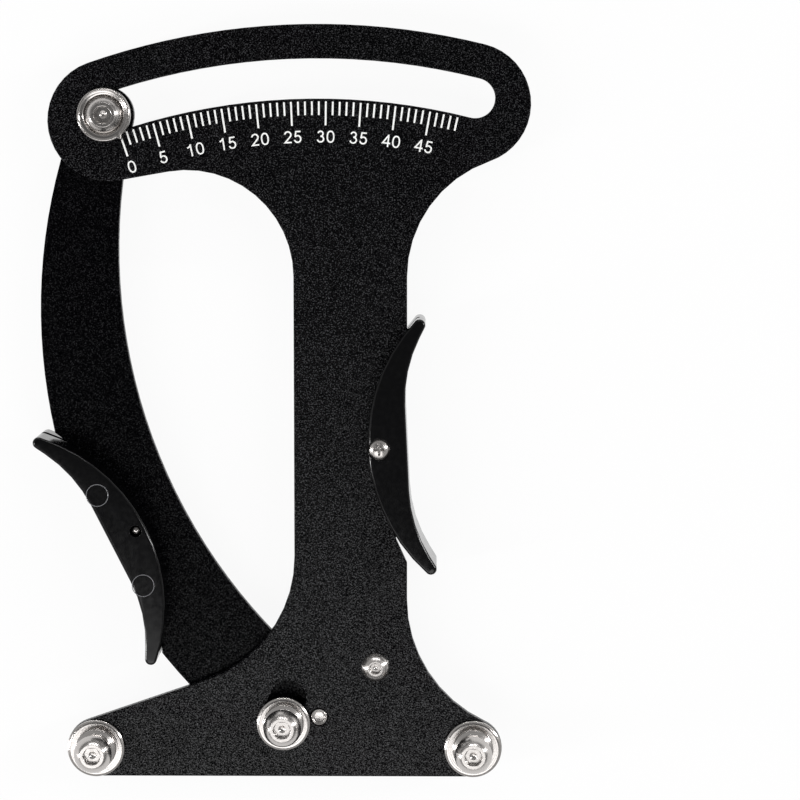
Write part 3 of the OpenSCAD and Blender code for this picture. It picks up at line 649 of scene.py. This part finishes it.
# One leg leans on the anchor post, the coil climbs round the hub, and the other leg hooks into the lever
def springPath():
    s = spring
    reach = s["coil"] + s["wire"] + s["anchorRadius"] + s["gap"]
    fixed = math.atan2(s["anchor"][1], s["anchor"][0]) - math.acos(reach / math.hypot(*s["anchor"]))
    moving = math.atan2(s["hook"][1], s["hook"][0]) + math.acos(s["coil"] / math.hypot(*s["hook"]))
    sweep = 2 * math.pi * s["turns"] - moving + fixed
    leg = math.sqrt(math.hypot(*s["hook"]) ** 2 - s["coil"] ** 2)

    def onLeg(direction, way, length, z):
        return (s["coil"] * math.cos(direction) - way * length * math.sin(direction),
                s["coil"] * math.sin(direction) + way * length * math.cos(direction), z)

    count = s["fixedSteps"]
    points = [onLeg(fixed, 1, s["fixedLeg"] * (1 - i / count), s["lowZ"]) for i in range(count)]
    steps = round(s["stepsPerTurn"] * sweep / (2 * math.pi))
    for i in range(steps + 1):
        t = i / steps
        direction = fixed - sweep * t
        points.append((s["coil"] * math.cos(direction), s["coil"] * math.sin(direction),
                       s["lowZ"] + (s["highZ"] - s["lowZ"]) * t))
    count = s["movingSteps"]
    points += [onLeg(moving, -1, (leg - s["bend"]) * i / count, s["highZ"]) for i in range(1, count)]
    for i in range(count + 1):
        a = math.pi / 2 * i / count
        points.append(onLeg(moving, -1, leg - s["bend"] * (1 - math.sin(a)),
                            s["highZ"] + s["bend"] * (1 - math.cos(a))))
    points.append(onLeg(moving, -1, leg, s["hookZ"]))
    return [Vector(p) for p in points]


def sweptTube(name, path, radius, sides, sharpAngle):
    shape = bmesh.new()
    across = Vector((0, 0, 1))
    rows = []
    for i, point in enumerate(path):
        way = (path[min(i + 1, len(path) - 1)] - path[max(i - 1, 0)]).normalized()
        across = (across - way * across.dot(way)).normalized()
        other = way.cross(across)
        rows.append([shape.verts.new((point + radius * (math.cos(2 * math.pi * j / sides) * across
                                      + math.sin(2 * math.pi * j / sides) * other)) * mm)
                     for j in range(sides)])
    for a, b in zip(rows, rows[1:]):
        for j in range(sides):
            shape.faces.new((a[j], a[(j + 1) % sides], b[(j + 1) % sides], b[j]))
    shape.faces.new(rows[0])
    shape.faces.new(rows[-1])
    bmesh.ops.recalc_face_normals(shape, faces=shape.faces)
    return placed(name, meshFrom(shape, name, sharpAngle))


# The legs stay whole: the wire is swept once, as it lies at rest
springPiece = sweptTube("return_spring_wire", springPath(), spring["wire"], spring["sides"],
                        spring["sharpAngle"])
springPiece.data.materials.append(wire)
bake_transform(springPiece)
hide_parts("return_spring")
print("stage: spring wound")


floorLook = {"size": 2400, "color": "#f4f4f4", "gap": 0.1, "ownLight": 0.92}


# A white board, painted matt. What the camera and the shiny pieces see of it is mostly even white.
def whiteBoard():
    material = bpy.data.materials.new("whiteBoard")
    material.use_nodes = True
    tree = material.node_tree
    tree.nodes.remove(tree.nodes["Principled BSDF"])
    path = addNode(tree, "ShaderNodeLightPath").node.outputs
    seen = addNode(tree, "ShaderNodeMath", {
        0: path["Is Camera Ray"], 1: path["Is Glossy Ray"]}, operation="MAXIMUM")
    seen = addNode(tree, "ShaderNodeMath", {0: seen, 1: path["Is Transmission Ray"]}, operation="MAXIMUM")
    share = addNode(tree, "ShaderNodeMath", {0: seen, 1: floorLook["ownLight"]}, operation="MULTIPLY")
    matt = addNode(tree, "ShaderNodeBsdfDiffuse", {"Color": linearColor(floorLook["color"])})
    even = addNode(tree, "ShaderNodeEmission", {"Color": (1, 1, 1, 1), "Strength": 1})
    mixed = addNode(tree, "ShaderNodeMixShader", {0: share, 1: matt, 2: even})
    tree.links.new(mixed, tree.nodes["Material Output"].inputs["Surface"])
    return material


half = floorLook["size"] * mm / 2
floorZ = cadBox[0][2] - floorLook["gap"] * mm
floorMesh = bpy.data.meshes.new("floor")
corners = [(x * half, y * half, floorZ) for x, y in ((-1, -1), (1, -1), (1, 1), (-1, 1))]
floorMesh.from_pydata(corners, [], [(0, 1, 2, 3)])
floorMesh.materials.append(whiteBoard())
floor = placed("floor", floorMesh)

# Grey of the room's light from the horizon, 0, to straight overhead, 1, where the camera's stand is dark.
# The dark band is the room beyond the table, and draws the dark rings on the turned posts.
room = {"tones": {
    0.0: "#f8f8f8", 0.06: "#404040", 0.2: "#505050", 0.3: "#bcbcbc", 0.76: "#b0b0b0", 0.9: "#6a6a6a",
    0.96: "#606060",
}}


def studioRoom():
    world = bpy.data.worlds.new("studioRoom")
    bpy.context.scene.world = world
    world.use_nodes = True
    tree = world.node_tree
    way = addNode(tree, "ShaderNodeTexCoord", output="Generated")
    height = addNode(tree, "ShaderNodeSeparateXYZ", {0: way}, "Z")
    tones = addNode(tree, "ShaderNodeValToRGB", {0: height})
    ramp = tones.node.color_ramp.elements
    while len(ramp) < len(room["tones"]):
        ramp.new(1)
    for stop, (place, tone) in zip(ramp, room["tones"].items()):
        stop.position = place
        stop.color = linearColor(tone)
    seen = addNode(tree, "ShaderNodeLightPath", output="Is Camera Ray")
    shown = addNode(tree, "ShaderNodeMix", {0: seen, 6: tones, 7: (1, 1, 1, 1)}, 2, data_type="RGBA")
    tree.links.new(shown, tree.nodes["Background"].inputs["Color"])


studioRoom()

# Softboxes: place from the middle of the tool, width and height, all in metres, and watts
softboxes = {
    "nearBox": ((-0.05, -0.42, 0.78), 0.6, 0.4, 1.9),
    "leftStrip": ((-0.8, -0.2, 0.42), 0.05, 1.2, 5.5),
    "rightStrip": ((0.8, 0.2, 0.42), 0.05, 1.2, 4.5),
    "farStrip": ((0.05, 0.9, 0.45), 0.9, 0.05, 2.2),
}
middle = sum((Vector(corner) for corner in cadBox), Vector()) / 2
for name, (offset, width, height, watts) in softboxes.items():
    lamp = bpy.data.lights.new(name, "AREA")
    lamp.shape = "RECTANGLE"
    lamp.size = width
    lamp.size_y = height
    lamp.energy = watts
    holder = placed(name, lamp)
    holder.location = middle + Vector(offset)
    holder.rotation_euler = (-Vector(offset)).to_track_quat("-Z", "Y").to_euler()

# The camera stands square above the scale and looks down the tool, so that only the lower heads lean.
# The picture is as wide as across at the front of the plate.
view = {
    "foot": (28.2, 150), "height": 712, "aim": (20.3, 79.95), "across": 198.4, "sensor": 36, "nearest": 10,
}
eye = Vector((*view["foot"], view["height"])) * mm
target = Vector((*view["aim"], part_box("body_plate")[1].z / mm)) * mm
lens = bpy.data.cameras.new("camera")
lens.sensor_width = view["sensor"]
lens.lens = view["sensor"] * (target - eye).length / (view["across"] * mm)
lens.clip_start = view["nearest"] * mm
camera = placed("camera", lens)
camera.location = eye
backward = (eye - target).normalized()
right = Vector((0, 1, 0)).cross(backward).normalized()
upward = backward.cross(right)
camera.rotation_euler = Matrix((right, upward, backward)).transposed().to_euler()
bpy.context.scene.camera = camera
bpy.context.scene.view_settings.view_transform = "Standard"
print("stage: floor, lights and camera placed")
